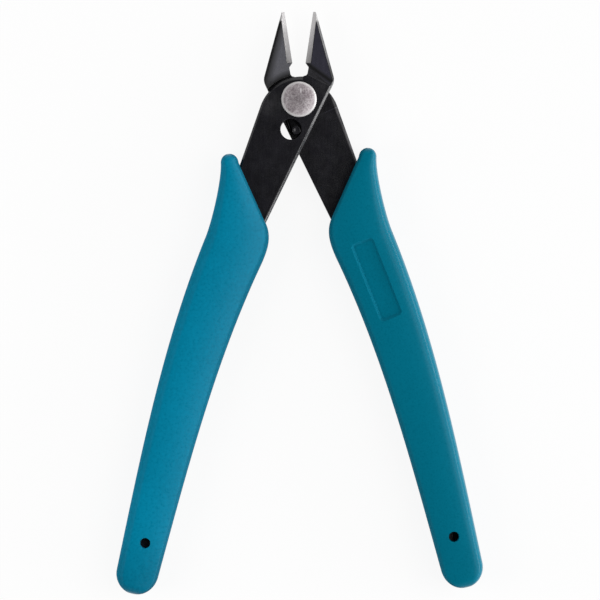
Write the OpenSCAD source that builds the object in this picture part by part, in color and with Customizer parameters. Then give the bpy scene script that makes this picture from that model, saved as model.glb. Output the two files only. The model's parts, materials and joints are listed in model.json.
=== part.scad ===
// Flush cut pliers lying on the flat undersides of their grips, jaws toward +Y, front face toward +Z.
// Each half is drawn about the pivot a little past closed, with its handle toward -X and its jaw toward +X.
// The front half swings to its open place, and the rear half is mirrored and swung the other way.

/* [Joint] */
// Angle between the halves, as drawn, when fully open
open_angle = 20.4; // [17:0.1:23]
// Angle by which each half is drawn past closed, where the jaw tips meet
past_closed = 1.1; // [0.8:0.1:1.4]
// Thickness of each blade plate
plate_t = 2.3; // [2.1:0.05:2.6]
// Running gap between the two lapped plates
lap_gap = 0.04; // [0.03:0.01:0.08]
// Height of the throat floor above the pivot
crown_y = 5.05; // [4.9:0.05:5.3]
// Sideways offset of the crown's centre from the pivot
crown_x = 1.45; // [1.2:0.05:1.7]

/* [Shanks] */
// Tilt of the plate's inner edge off the closed centre line
inner_tilt = 15.8; // [15:0.1:16.5]
// Distance of the plate's inner edge from the pivot
inner_off = 5; // [4.9:0.05:5.3]
// Tilt of the plate's outer edge off the closed centre line
outer_tilt = 9.3; // [8.5:0.1:10]
// Distance of the plate's outer edge from the pivot
outer_off = 7.15; // [7:0.05:7.4]
// Width of the chamfer along the plate's edges
edge_chamfer = 0.45; // [0.2:0.05:0.6]
// Width of the chamfer along the crown at the throat
crown_chamfer = 0.8; // [0.6:0.05:1]
// Width of the tang where it enters the grip's palm
tang_w = 7.4; // [6.4:0.1:7.8]
// Width of the tang at its round end
tang_end_w = 5; // [4:0.1:5.6]
// Distance from the grip's tail centre back to the tang's end centre
tang_short = 4.5; // [3.6:0.1:5.4]

/* [Jaws] */
// Distance from the pivot to the jaw tips
jaw_reach = 18.9; // [17.5:0.1:20.5]
// Distance from the pivot to the start of the cutting edge
edge_start = 8; // [7.6:0.1:8.8]
// Slope of the jaw's outer edge off the closed cutting line
jaw_flare = 25.2; // [24:0.1:26]
// Rounding of the jaw's outer corner
corner_r = 2.5; // [1.5:0.1:3]
// Width of the blunt jaw tip
tip_w = 0.6; // [0.4:0.05:0.8]
// Half of the light gap between the closed jaw tips
edge_light = 0.02; // [0.01:0.01:0.05]
// Half of the light gap at the root of the closed cutting edges
root_light = 0.09; // [0.05:0.01:0.12]
// Width of the ground bevel at the root of the cutting edge
bevel_w = 1.2; // [1:0.05:1.4]
// Width of the ground bevel at the jaw tip
bevel_tip_w = 0.87; // [0.75:0.01:1]
// Steepness of the ground bevel
bevel_angle = 54; // [48:1:58]
// Slope of the jaw face down toward the cutting edge
face_tilt = 17.5; // [16:0.5:18.5]
// Depth of the flush ground back below the lap plane
flush_back = 1.15; // [1:0.05:1.3]
// Width of the chamfer along the jaw's outer edge
jaw_chamfer = 0.5; // [0.3:0.05:0.7]
// Half width of the relief between the throat and the cutting edge
throat_w = 0.78; // [0.7:0.02:0.9]
// Fillet in the corner of the throat
throat_r = 0.7; // [0.5:0.05:0.7]
// Distance from the pivot to the top of the ramp at the root of the jaw face
step_off = 5.45; // [5.2:0.05:5.7]
// Tilt of that ramp's line across the plate
step_tilt = 17.4; // [15:0.2:19]
// Steepness of that ramp
step_slope = 52; // [45:1:58]
// Gap between a jaw's shoulder and the crown of the other plate
shoulder_gap = 0.5; // [0.4:0.05:0.7]

/* [Rivet] */
// Diameter of the rivet's shank
shank_d = 4; // [3.6:0.1:4.4]
// Radial clearance of the shank in the rear blade
pivot_fit = 0.04; // [0.02:0.01:0.08]
// Diameter of the rivet's front head
head_d = 7.45; // [6.8:0.05:8]
// Height of the rivet's front head
head_h = 0.95; // [0.8:0.05:1.2]
// Chamfer around the front head
head_chamfer = 0.4; // [0.2:0.05:0.6]
// Diameter of the backing washer
washer_d = 7.4; // [6.8:0.1:8]
// Thickness of the backing washer
washer_t = 0.5; // [0.4:0.05:0.6]
// Diameter of the formed rivet tail
tail_d = 6; // [5.4:0.1:6.4]
// Height of the formed rivet tail
tail_h = 0.8; // [0.6:0.05:1]

/* [Stop pin] */
// Distance of the stop pin from the pivot
stop_r = 6.45; // [6.3:0.05:6.6]
// Diameter of the stop pin
stop_d = 1.8; // [1.6:0.05:1.9]
// Turn of the front plate's stop hole off the closed centre line
stop_turn = 5; // [4:0.25:6]
// Clearance between the stop pin and its hole at each end of the swing
stop_gap = 0.15; // [0.1:0.05:0.25]
// Height of the stop pin above the lap plane
stop_h = 1.9; // [1.4:0.1:2.2]
// Chamfer around the stop pin's top
stop_chamfer = 0.15; // [0.1:0.05:0.25]
// Radial clearance of a pin or shank that is pressed into a plate
press_fit = 0.01; // [0.005:0.005:0.02]

/* [Return spring] */
// Diameter of the spring wire
wire_d = 0.5; // [0.4:0.05:0.55]
// Radius of the spring's first turn, where its toe stands up
toe_r = 2.75; // [2.7:0.05:2.85]
// Turns of the spring around the shank
spring_turns = 1; // [0.8:0.1:1.1]
// Step from one turn to the next
spring_pitch = 1; // [0.95:0.01:1.02]
// Room around the wire in its pocket and in the toe's hole
wire_room = 0.1; // [0.06:0.01:0.12]
// Height of the spring's toe above the lap plane
toe_h = 1.1; // [0.8:0.1:1.4]
// Length of the spring's leg past the stop pin's centre
leg_past = 0.3; // [0:0.1:0.4]

/* [Grips] */
// Thickness of the grips
grip_t = 9.4; // [8.6:0.1:10.2]
// Distance from the closed centre line to the palm centre
palm_x = 8.05; // [7.8:0.05:8.3]
// Distance from the pivot down to the palm centre
palm_y = 32.5; // [32:0.1:33]
// Width across the palm
palm_w = 13; // [12.6:0.05:13.4]
// Tilt of the handle's axis at the palm
palm_tilt = 13.5; // [12.8:0.1:14.2]
// Distance from the closed centre line to the tail centre
tail_x = 16.05; // [15:0.05:17]
// Distance from the pivot down to the tail centre
tail_y = 102.5; // [95:0.1:112]
// Width across the tail
tail_w = 8.85; // [8:0.05:9.6]
// Tilt of the handle's axis at the tail
tail_tilt = 3.5; // [2.5:0.1:5]
// Share of the grip's width that its outer side takes to round over
outer_round = 0.25; // [0.2:0.01:0.3]
// Share of the grip's width that its inner side takes to round over
inner_round = 0.12; // [0.1:0.01:0.16]
// Power that squares off the grip's rounded sides, 1 for an ellipse
side_power = 0.65; // [0.6:0.05:1]
// Slope of the grip's front face down toward its inner side
grip_lean = 6; // [4:0.5:7]
// Rounding in from the mouth's lip to the flat faces
lip_r = 1.2; // [0.8:0.1:1.6]
// Clearance between a tang and its grip
grip_fit = 0.03; // [0.02:0.01:0.06]
// How much further down its tang the left grip sits
left_set = 1.2; // [0:0.1:2]
// Distance from the palm up to the mouth's inner corner
corner_rise = 7.1; // [6.7:0.1:7.5]
// Distance of the mouth's inner corner from the closed centre line
corner_x = 2.4; // [2.2:0.1:2.6]
// Tilt of the slanted mouth off the closed centre line
mouth_tilt = 34.3; // [33.6:0.1:35]
// Length of the slanted mouth
mouth_l = 13.9; // [13.6:0.1:14.2]
// Width across the finger guard at the top of the grip
horn_w = 3.7; // [3.4:0.1:3.9]
// Outward lean of the finger guard
horn_lean = 13; // [10:0.5:15]
// Rounding in from the finger guard's back to the flat faces
horn_r = 1.7; // [1.2:0.1:2]

/* [Grip marks] */
// Diameter of the mould pin's hole near the tail
pin_hole_d = 2.15; // [1.8:0.05:2.4]
// Distance from the tail centre back to the mould pin's hole
pin_hole_up = 6.4; // [5.6:0.1:7.2]
// Width of the bare label recess
label_w = 4.35; // [4:0.05:4.8]
// Length of the bare label recess
label_l = 16.6; // [14:0.1:18]
// Depth of the bare label recess
label_depth = 0.5; // [0.3:0.05:0.7]
// Distance from the palm down to the recess centre
label_down = 7.6; // [7:0.1:10]
// Inward offset of the recess from the handle's axis
label_in = 0.5; // [0:0.1:0.8]

/* [Hidden] */
$fn = 64;

black = [0.13, 0.13, 0.14];
steel = [0.72, 0.69, 0.70];
teal = [0.05, 0.53, 0.61];

half_angle = open_angle / 2;
lap = lap_gap / 2;
plate_top = lap + plate_t;
shank_r = shank_d / 2;
cut_size = 4 * tail_y;
cut_past = 1;
eps = 0.01;

function turned(p, a) = [p.x * cos(a) - p.y * sin(a), p.x * sin(a) + p.y * cos(a)];
function mix(a, b, f) = a + (b - a) * f;
function unit(v) = v / norm(v);
function bezier(p, f) = pow(1 - f, 3) * p[0] + 3 * pow(1 - f, 2) * f * p[1]
    + 3 * (1 - f) * f * f * p[2] + pow(f, 3) * p[3];
function side_in(a) = 1 - pow(cos(a), side_power);
function side_up(a) = sign(a) * pow(abs(sin(a)), side_power);
function flat_end(r, d) = d >= r ? 1 : pow(1 - pow(1 - d / r, 2 / side_power), side_power / 2);

// The crown's arc rises to the throat floor and runs tangent into the plate's outer edge.
outer_n = [-cos(outer_tilt), sin(outer_tilt)];
inner_n = [cos(inner_tilt), -sin(inner_tilt)];
crown_c = [crown_x, (outer_off + crown_x * cos(outer_tilt) - crown_y) / (sin(outer_tilt) - 1)];
crown_r = crown_y - crown_c.y;
crown_foot = crown_c + crown_r * outer_n;
function outer_at(y) = [(y * sin(outer_tilt) - outer_off) / cos(outer_tilt), y];
function inner_at(y) = [(y * sin(inner_tilt) + inner_off) / cos(inner_tilt), y];

// The jaw's outer edge leaves the blunt tip and meets the plate's inner edge at the jaw corner.
tip = turned([edge_light, jaw_reach], past_closed);
root = turned([root_light, edge_start], past_closed);
tip_out = tip + [tip_w, 0];
flare = tan(jaw_flare);
corner_y = (tip_out.y * flare + tip_out.x - inner_off / cos(inner_tilt)) / (flare + tan(inner_tilt));
jaw_corner = inner_at(corner_y);
corner_turn = (jaw_flare + inner_tilt) / 2;
corner_mid = (jaw_flare - inner_tilt) / 2;
corner_c = jaw_corner - [cos(corner_mid), sin(corner_mid)] * corner_r / cos(corner_turn);
corner_steps = 6;

// The jaw's face leaves the ground bevel along a line that falls and narrows toward the tip.
edge_dir = unit(tip - root);
edge_n = [-edge_dir.y, edge_dir.x];
function bevel_edge(p, w) = [p.x - edge_n.x * w, p.y - edge_n.y * w, w * tan(bevel_angle) - flush_back];
face_root = bevel_edge(root, bevel_w);
face_n = unit(cross([-edge_n.x, -edge_n.y, tan(face_tilt)], bevel_edge(tip, bevel_tip_w) - face_root));
function face_z(p) = face_root.z
    - (face_n.x * (p.x - face_root.x) + face_n.y * (p.y - face_root.y)) / face_n.z;

// The handle's axis is one smooth curve from the palm centre to the tail centre.
palm = [-palm_x, -palm_y];
tail = [-tail_x, -tail_y];
axis_l = norm(tail - palm);
palm_dir = [-sin(palm_tilt), -cos(palm_tilt)];
tail_dir = [-sin(tail_tilt), -cos(tail_tilt)];
axis_pts = [palm, palm + palm_dir * axis_l / 3, tail - tail_dir * axis_l / 3, tail];
function axis_at(f) = bezier(axis_pts, f);
function axis_dir(f) = unit(axis_at(f + eps) - axis_at(f - eps));
function outward(f) = [axis_dir(f).y, -axis_dir(f).x];
function grip_w(f) = mix(palm_w, tail_w, f);
function rounds(w) = [outer_round * w, inner_round * w];

// The stop pin crosses its hole from one side to the other over the swing.
stop_hole = turned([0, -stop_r], -stop_turn);
stop_pin_c = turned([0, -stop_r], stop_turn + half_angle);
stop_hole_r = stop_d / 2 + 2 * stop_r * sin(half_angle / 2) + stop_gap;

// The spring winds outward in a pocket of the rear plate and leaves tangent to bear on the stop pin.
wire_r = wire_d / 2;
wind_r = toe_r + spring_turns * spring_pitch;
pocket_r = wind_r + wire_r + wire_room;
pocket_depth = wire_d + 2 * wire_room;
wire_z = -lap - pocket_depth / 2;
leg_side = stop_d / 2 + wire_r + wire_room / 2;
leg_turn = acos((wind_r - leg_side) / stop_r);
leg_angle = atan2(stop_pin_c.y, stop_pin_c.x) + leg_turn;
leg_l = stop_r * sin(leg_turn) + leg_past;
toe_angle = leg_angle + 360 * spring_turns;
toe = toe_r * [cos(toe_angle), sin(toe_angle)];

// The resting tool is centred on the origin from its jaw tips to the lower tail.
top_y = turned(tip, -half_angle).y;
bottom_y = turned(tail - [0, left_set], -half_angle).y - tail_w / 2;
pivot_y = -(top_y + bottom_y) / 2;

module front_place() {
    translate([0, pivot_y, grip_t / 2]) rotate([0, 0, -half_angle]) children();
}

module rear_place() {
    translate([0, pivot_y, grip_t / 2]) rotate([0, 0, half_angle]) mirror([1, 0, 0]) children();
}

module slab(z0, z1) {
    translate([0, 0, z0]) linear_extrude(height = z1 - z0) children();
}

// Everything beyond a plane through a point, on the side that the normal points to
module beyond(point, normal) {
    n = unit(normal);
    translate(point)
        rotate([0, acos(n.z), atan2(n.y, n.x)])
            translate([-cut_size / 2, -cut_size / 2, 0]) cube(cut_size);
}

// Outline of the tang inside its grip, with room added all round
module tang_outline(room = 0) {
    end = 1 - tang_short / axis_l;
    steps = 14;
    at = [for (i = [0 : steps]) end * i / steps];
    side = [for (f = at) mix(tang_w, tang_end_w, f / end) / 2 + room];
    polygon(concat(
        [for (i = [0 : steps]) axis_at(at[i]) + outward(at[i]) * side[i]],
        [for (i = [steps : -1 : 0]) axis_at(at[i]) - outward(at[i]) * side[i]]
    ));
    translate(axis_at(end)) circle(r = tang_end_w / 2 + room);
    polygon([
        outer_at(-palm_y) + outer_n * room,
        outer_at(0) + outer_n * room,
        inner_at(0) + inner_n * room,
        inner_at(-palm_y) + inner_n * room,
        palm + palm_dir * tang_w / 2
    ]);
}

module crown_disc(grow = 0) {
    translate(crown_c) circle(r = crown_r + grow);
}

// Open space left of the jaw and above the crown, with a filleted throat corner
module throat_notch() {
    left = crown_foot.x - cut_past;
    fillet_c = [throat_w - throat_r, crown_y + throat_r];
    difference() {
        union() {
            polygon([
                [left, crown_foot.y],
                [fillet_c.x, crown_foot.y],
                fillet_c,
                [throat_w, fillet_c.y],
                [throat_w, root.y + root.x - throat_w],
                root,
                tip + edge_dir * cut_past,
                [left, jaw_reach + cut_past]
            ]);
            translate(fillet_c) circle(r = throat_r);
        }
        crown_disc();
    }
}

// Plan of one half: jaw, joint, shank and tang
module blade_outline() {
    difference() {
        union() {
            tang_outline();
            polygon(concat(
                [tip, tip_out],
                [for (i = [0 : corner_steps]) let (a = mix(jaw_flare, -inner_tilt, i / corner_steps))
                    corner_c + corner_r * [cos(a), sin(a)]],
                [inner_at(-palm_y), outer_at(-palm_y), crown_foot, [crown_foot.x, jaw_reach]]
            ));
        }
        throat_notch();
    }
}

// Plan of the jaw, beyond the path that the other plate's crown sweeps
module jaw_outline() {
    sweep_steps = 6;
    difference() {
        intersection() {
            blade_outline();
            translate([tip.x, 0]) square([jaw_reach, jaw_reach]);
        }
        for (i = [0 : sweep_steps])
            rotate(open_angle * i / sweep_steps) mirror([1, 0]) crown_disc(shoulder_gap);
    }
}

// Space in front of the jaw's sloping face
module face_cut() {
    beyond(face_root, face_n);
}

// Space beyond the ramp at the jaw's root, on the front for side 1 and on the back for side -1
module ramp_cut(side) {
    along = [sin(step_tilt), cos(step_tilt)];
    rise = sin(step_slope);
    beyond(
        [along.x * step_off, along.y * step_off, side * plate_top],
        [along.x * rise, along.y * rise, side * cos(step_slope)]
    );
}

// Space in front of the ground bevel, from the start of the cutting edge to the tip
module bevel_cut() {
    intersection() {
        beyond(
            [root.x, root.y, -flush_back],
            [edge_n.x * sin(bevel_angle), edge_n.y * sin(bevel_angle), cos(bevel_angle)]
        );
        beyond([0, root.y, 0], [0, 1, 0]);
    }
}

// Chamfer along the jaw's outer edge, where it meets the sloping face
module jaw_edge_cut() {
    out = [cos(jaw_flare), sin(jaw_flare), 0];
    across = unit(out + face_n);
    depth = jaw_chamfer * sin(acos(out * face_n) / 2);
    intersection() {
        beyond([tip_out.x, tip_out.y, face_z(tip_out)] - across * depth, across);
        beyond([0, corner_y, 0], [0, 1, 0]);
    }
}

// Chamfers along the straight edges of a plate, on the face at height z that looks toward side
module plate_edge_cut(z, side) {
    depth = edge_chamfer / sqrt(2);
    for (edge = [[outer_at(0), outer_n], [inner_at(0), inner_n]]) {
        across = unit([edge[1].x, edge[1].y, side]);
        intersection() {
            beyond([edge[0].x, edge[0].y, z] - across * depth, across);
            beyond([0, -palm_y, 0], [0, 1, 0]);
        }
    }
}

// Chamfer along the crown's arc, on the face at height z that looks toward side
// It widens from the plate's edge chamfer at the crown's foot to its full width at the throat.
module crown_edge_cut(z, side) {
    foot_share = 0.9;
    foot_w = edge_chamfer * foot_share;
    shift = (crown_chamfer - foot_w) / (1 - sin(outer_tilt));
    cone_c = crown_c + outer_n * shift;
    cone_r = crown_r - shift - foot_w;
    depth = 2 * crown_chamfer;
    reach = throat_w - throat_r;
    intersection() {
        translate([cone_c.x, cone_c.y, z]) mirror([0, 0, side > 0 ? 1 : 0]) difference() {
            cylinder(r = crown_r + depth, h = depth);
            cylinder(r1 = cone_r, r2 = cone_r + depth, h = depth);
        }
        slab(z - depth, z + depth)
            polygon([crown_foot, [0, 0], [reach, 0], [reach, 2 * crown_y], [crown_foot.x, 2 * crown_y]]);
    }
}

module bore(at, r, z0, z1) {
    translate([at.x, at.y, z0]) cylinder(r = r, h = z1 - z0);
}

module front_blade() {
    toe_seat = turned([-toe.x, toe.y], 2 * half_angle);
    color(black) front_place() difference() {
        union() {
            slab(lap, plate_top) blade_outline();
            slab(-flush_back, plate_top) jaw_outline();
        }
        intersection() {
            face_cut();
            ramp_cut(1);
        }
        bevel_cut();
        jaw_edge_cut();
        plate_edge_cut(plate_top, 1);
        crown_edge_cut(plate_top, 1);
        bore([0, 0], shank_r + press_fit, -plate_top, 2 * plate_top);
        bore(stop_hole, stop_hole_r, -plate_top, 2 * plate_top);
        bore(toe_seat, wire_r + wire_room / 2, -plate_top, toe_h + wire_room);
    }
}

module rear_blade() {
    color(black) rear_place() difference() {
        union() {
            slab(-plate_top, -lap) blade_outline();
            slab(-plate_top, plate_top) jaw_outline();
        }
        intersection() {
            face_cut();
            beyond([0, 0, -lap], [0, 0, 1]);
        }
        intersection() {
            beyond([0, 0, -flush_back], [0, 0, -1]);
            ramp_cut(-1);
        }
        bevel_cut();
        jaw_edge_cut();
        plate_edge_cut(-plate_top, -1);
        crown_edge_cut(-plate_top, -1);
        bore([0, 0], shank_r + pivot_fit, -2 * plate_top, plate_top);
        bore(stop_pin_c, stop_d / 2 + press_fit, -2 * plate_top, plate_top);
        spring_pocket();
    }
}

// Pocket around the shank and groove beside the stop pin, both open toward the front plate
module spring_pocket() {
    slab(-lap - pocket_depth, plate_top) {
        circle(r = pocket_r);
        rotate(leg_angle)
            translate([wind_r - wire_r - wire_room, -leg_l - wire_room])
                square([wire_d + 2 * wire_room, leg_l + wire_room]);
    }
}

module pivot_rivet() {
    washer_z = -plate_top - lap_gap - washer_t;
    color(steel) front_place() rotate_extrude() polygon([
        [0, plate_top + head_h],
        [head_d / 2 - head_chamfer, plate_top + head_h],
        [head_d / 2, plate_top + head_h - head_chamfer],
        [head_d / 2, plate_top],
        [shank_r, plate_top],
        [shank_r, washer_z],
        [tail_d / 2, washer_z],
        [tail_d / 2, washer_z - tail_h / 2],
        [tail_d / 2 - tail_h / 2, washer_z - tail_h],
        [0, washer_z - tail_h]
    ]);
}

module rivet_washer() {
    color(steel) front_place() difference() {
        bore([0, 0], washer_d / 2, -plate_top - lap_gap - washer_t, -plate_top - lap_gap);
        bore([0, 0], shank_r + press_fit, -2 * plate_top, 0);
    }
}

module stop_pin() {
    color(black) rear_place() translate([stop_pin_c.x, stop_pin_c.y, 0]) rotate_extrude() polygon([
        [0, -plate_top],
        [stop_d / 2, -plate_top],
        [stop_d / 2, stop_h - stop_chamfer],
        [stop_d / 2 - stop_chamfer, stop_h],
        [0, stop_h]
    ]);
}

// The wire's stations are [point, direction, side]: toe, bend, turns and leg.
bend_r = wire_d;
turn_steps = 24;
bend_steps = 4;
lead_steps = 2;
wind_steps = round(turn_steps * spring_turns);
function around(a) = [cos(a), sin(a), 0];
function clockwise(a) = [sin(a), -cos(a), 0];
toe_start = [toe.x, toe.y, wire_z];
wire = concat(
    [for (z = [toe_h, wire_z + bend_r]) [[toe.x, toe.y, z], [0, 0, -1], around(toe_angle)]],
    [for (i = [1 : bend_steps]) let (a = 90 * i / bend_steps) [
        toe_start + [0, 0, bend_r * (1 - sin(a))] + bend_r * (1 - cos(a)) * clockwise(toe_angle),
        sin(a) * clockwise(toe_angle) - [0, 0, cos(a)],
        around(toe_angle)
    ]],
    [for (i = [lead_steps : wind_steps]) let (f = i / wind_steps, a = mix(toe_angle, leg_angle, f)) [
        mix(toe_r, wind_r, f) * around(a) + [0, 0, wire_z],
        clockwise(a),
        around(a)
    ]],
    [for (l = [leg_l / 2, leg_l]) [
        wind_r * around(leg_angle) + l * clockwise(leg_angle) + [0, 0, wire_z],
        clockwise(leg_angle),
        around(leg_angle)
    ]]
);
wire_sides = 8;

// Closed skin over rings of equal point counts, with flat ends
module skin(rings) {
    n = len(rings[0]);
    last = len(rings) - 1;
    polyhedron(
        points = [for (ring = rings) for (p = ring) p],
        faces = concat(
            [for (k = [1 : n - 2]) [0, k + 1, k]],
            [for (k = [1 : n - 2]) [last * n, last * n + k, last * n + k + 1]],
            [for (i = [0 : last - 1]) for (k = [0 : n - 1]) let (a = i * n, b = a + n, j = (k + 1) % n)
                each [[a + k, b + j, b + k], [a + k, a + j, b + j]]]
        ),
        convexity = 8
    );
}

module return_spring() {
    rings = [for (s = wire) let (up = cross(s[2], s[1])) [
        for (k = [0 : wire_sides - 1]) let (a = 360 * k / wire_sides)
            s[0] + wire_r * (cos(a) * s[2] + sin(a) * up)
    ]];
    color(steel) rear_place() skin(rings);
}

// The grip's stations are [outer point, inner point, height, outer and inner rounding].
body_steps = 20;
top_steps = 12;
cap_steps = 5;
cap_last = 82;
bulge_share = 0.4;
bulge_ease = 0.38;
rise_ease = 0.22;
tail_r = tail_w / 2;
outer_palm = palm + outward(0) * palm_w / 2;
inner_palm = palm - outward(0) * palm_w / 2;
mouth_dir = [-sin(mouth_tilt), cos(mouth_tilt)];
mouth_corner = [-corner_x, corner_rise - palm_y];
mouth_end = mouth_corner + mouth_dir * mouth_l;
horn_dir = [-sin(horn_lean), cos(horn_lean)];
horn_out = mouth_end - [horn_w * cos(horn_lean), horn_w * sin(horn_lean)];
rise_pull = rise_ease * norm(horn_out - outer_palm);
bulge_pull = bulge_ease * norm(mouth_corner - inner_palm);
outer_rise = [
    outer_palm,
    outer_palm - palm_dir * rise_pull,
    horn_out - horn_dir * rise_pull,
    horn_out
];
bulge = [
    inner_palm,
    inner_palm - palm_dir * bulge_pull,
    mouth_corner - mouth_dir * bulge_pull,
    mouth_corner
];
function mouth_at(f) = f < bulge_share
    ? bezier(bulge, f / bulge_share)
    : mix(mouth_corner, mouth_end, (f - bulge_share) / (1 - bulge_share));
function cap_station(c, dir, side, r, soft, a) = [
    c + dir * r * sin(a) + side * r * cos(a),
    c + dir * r * sin(a) - side * r * cos(a),
    grip_t * flat_end(soft[0], r * (1 - sin(a))),
    soft
];
horn_side = unit(horn_out - mouth_end);
horn_up = [horn_side.y, -horn_side.x];
grip_stations = concat(
    [for (k = [cap_steps : -1 : 1])
        cap_station(tail, tail_dir, outward(1), tail_r, rounds(tail_w), cap_last * k / cap_steps)],
    [for (i = [body_steps : -1 : 0]) let (f = i / body_steps, side = outward(f) * grip_w(f) / 2) [
        axis_at(f) + side, axis_at(f) - side, grip_t, rounds(grip_w(f))
    ]],
    [for (i = [1 : top_steps]) let (f = i / top_steps, g = min(1, f / bulge_share), soft = rounds(palm_w)) [
        bezier(outer_rise, f), mouth_at(f), grip_t, [mix(soft[0], horn_r, f), mix(soft[1], lip_r, g)]
    ]],
    [for (k = [1 : cap_steps])
        cap_station((horn_out + mouth_end) / 2, horn_up, horn_side, horn_w / 2, [horn_r, lip_r],
            cap_last * k / cap_steps)]
);
side_steps = 8;
outer_most = 0.36;
inner_most = 0.6;

// Solid grip without its tang slot, its marks or its place on the tang
module grip_body() {
    rings = [for (s = grip_stations)
        let (
            in = unit(s[1] - s[0]),
            w = norm(s[1] - s[0]),
            h = s[2] / 2,
            soft = [min(s[3][0], outer_most * w), min(s[3][1], inner_most * w)],
            lower = h * (1 - tan(grip_lean) * (w - soft[0] - soft[1]) * 2 / grip_t)
        ) concat(
            [for (k = [0 : side_steps]) let (a = 90 - 180 * k / side_steps,
                p = s[0] + in * soft[0] * side_in(a)) [p.x, p.y, h * side_up(a)]],
            [for (k = [0 : side_steps]) let (a = -90 + 180 * k / side_steps,
                p = s[1] - in * soft[1] * side_in(a)) [p.x, p.y, (a > 0 ? lower : h) * side_up(a)]]
        )
    ];
    skin(rings);
}

// Grip that sits down its tang by set, over a tang between two heights
module grip(set, z0, z1) {
    hole = axis_at(1 - pin_hole_up / axis_l);
    difference() {
        translate([0, -set, 0]) grip_body();
        slab(z0 - grip_fit, z1 + grip_fit) tang_outline(grip_fit);
        bore(hole - [0, set], pin_hole_d / 2, z1, grip_t);
    }
}

module left_grip() {
    color(teal) front_place() grip(left_set, lap, plate_top);
}

// The label recess follows the slope of the grip's front face.
module right_grip() {
    f = label_down / axis_l;
    c = axis_at(f) - outward(f) * label_in;
    turn = atan2(axis_dir(f).y, axis_dir(f).x);
    along_face = grip_w(f) / 2 + label_in - rounds(grip_w(f))[0];
    color(teal) rear_place() difference() {
        grip(0, -plate_top, -lap);
        translate([c.x, c.y, grip_t / 2 - tan(grip_lean) * along_face])
            rotate([-grip_lean, 0, turn])
                translate([-label_l / 2, -label_w / 2, -label_depth]) cube([label_l, label_w, grip_t]);
    }
}

front_blade();
rear_blade();
pivot_rivet();
rivet_washer();
return_spring();
stop_pin();
left_grip();
right_grip();
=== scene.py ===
import bmesh
import bpy
import json
from math import acos, atan2, cos, pi, radians, sin, tan
from mathutils import Matrix, Vector


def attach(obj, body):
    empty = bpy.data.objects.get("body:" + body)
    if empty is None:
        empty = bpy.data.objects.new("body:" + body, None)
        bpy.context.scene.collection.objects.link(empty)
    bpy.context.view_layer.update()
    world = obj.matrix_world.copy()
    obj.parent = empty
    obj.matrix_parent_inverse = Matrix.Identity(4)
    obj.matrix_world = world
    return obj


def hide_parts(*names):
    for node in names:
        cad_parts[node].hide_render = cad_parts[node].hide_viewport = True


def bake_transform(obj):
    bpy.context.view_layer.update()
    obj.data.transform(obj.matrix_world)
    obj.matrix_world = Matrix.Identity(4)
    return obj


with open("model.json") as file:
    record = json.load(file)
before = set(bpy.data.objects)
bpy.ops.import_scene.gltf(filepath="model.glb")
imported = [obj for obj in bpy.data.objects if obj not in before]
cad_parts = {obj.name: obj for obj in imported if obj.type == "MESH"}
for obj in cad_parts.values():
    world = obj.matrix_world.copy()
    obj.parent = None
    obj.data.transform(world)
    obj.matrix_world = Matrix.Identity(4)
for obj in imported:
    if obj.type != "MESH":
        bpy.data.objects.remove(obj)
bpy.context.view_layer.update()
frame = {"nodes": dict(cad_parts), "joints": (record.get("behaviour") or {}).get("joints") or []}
scene = bpy.context.scene
scene.view_settings.view_transform = "Standard"
mm = 0.001
hair = 0.002     # millimetres that keep a turned top just inside its solid
weldReach = 2e-6

# each half is drawn about the pivot a little past closed, handle toward -x, then swung to its open place
hinge = frame["joints"][0]
pivot = Vector(hinge["pos_m"])
pastClosed = 1.1
halfSwing = radians(hinge["range_deg"][1] / 2 + pastClosed)
scaleToMetres = Matrix.Scale(mm, 4)
frontPlace = Matrix.Translation(pivot) @ Matrix.Rotation(-halfSwing, 4, "Z") @ scaleToMetres
rearPlace = (Matrix.Translation(pivot) @ Matrix.Rotation(halfSwing, 4, "Z")
             @ Matrix.Diagonal((-1, 1, 1, 1)) @ scaleToMetres)
plateTop = 2.32
lapGap = 0.04


# small helpers for objects, meshes and node trees

def linkPiece(name, mesh):
    piece = bpy.data.objects.new(name, mesh)
    scene.collection.objects.link(piece)
    return piece


def applyModifiers(piece):
    bpy.context.view_layer.update()
    mesh = bpy.data.meshes.new_from_object(piece.evaluated_get(bpy.context.evaluated_depsgraph_get()))
    old = piece.data
    piece.modifiers.clear()
    piece.data = mesh
    mesh.name = piece.name
    bpy.data.meshes.remove(old)


def carve(piece, cutter):
    cut = piece.modifiers.new("carve", "BOOLEAN")
    cut.operation = "DIFFERENCE"
    cut.solver = "EXACT"
    cut.object = cutter
    applyModifiers(piece)
    cutterMesh = cutter.data
    bpy.data.objects.remove(cutter)
    bpy.data.meshes.remove(cutterMesh)


def settle(piece, place, sharpAngle):
    piece.data.transform(place)
    bm = bmesh.new()
    bm.from_mesh(piece.data)
    bmesh.ops.remove_doubles(bm, verts=bm.verts, dist=weldReach)
    bmesh.ops.recalc_face_normals(bm, faces=bm.faces)
    bm.to_mesh(piece.data)
    bm.free()
    piece.data.shade_smooth()
    piece.data.set_sharp_from_angle(angle=radians(sharpAngle))


def coat(piece, finish):
    piece.data.materials.clear()
    piece.data.materials.append(finish)
    piece.data.polygons.foreach_set("material_index", [0] * len(piece.data.polygons))


def enlist(piece, node, body):
    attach(piece, body)
    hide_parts(node)


def closedPiece(name, bm):
    bmesh.ops.recalc_face_normals(bm, faces=bm.faces)
    mesh = bpy.data.meshes.new(name)
    bm.to_mesh(mesh)
    bm.free()
    return linkPiece(name, mesh)


def prism(name, lowLoop, highLoop, z0, z1):
    bm = bmesh.new()
    low = [bm.verts.new((p[0], p[1], z0)) for p in lowLoop]
    high = [bm.verts.new((p[0], p[1], z1)) for p in highLoop]
    bm.faces.new(low)
    bm.faces.new(high)
    for i in range(len(low)):
        j = (i + 1) % len(low)
        bm.faces.new((low[i], low[j], high[j], high[i]))
    return closedPiece(name, bm)


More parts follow.
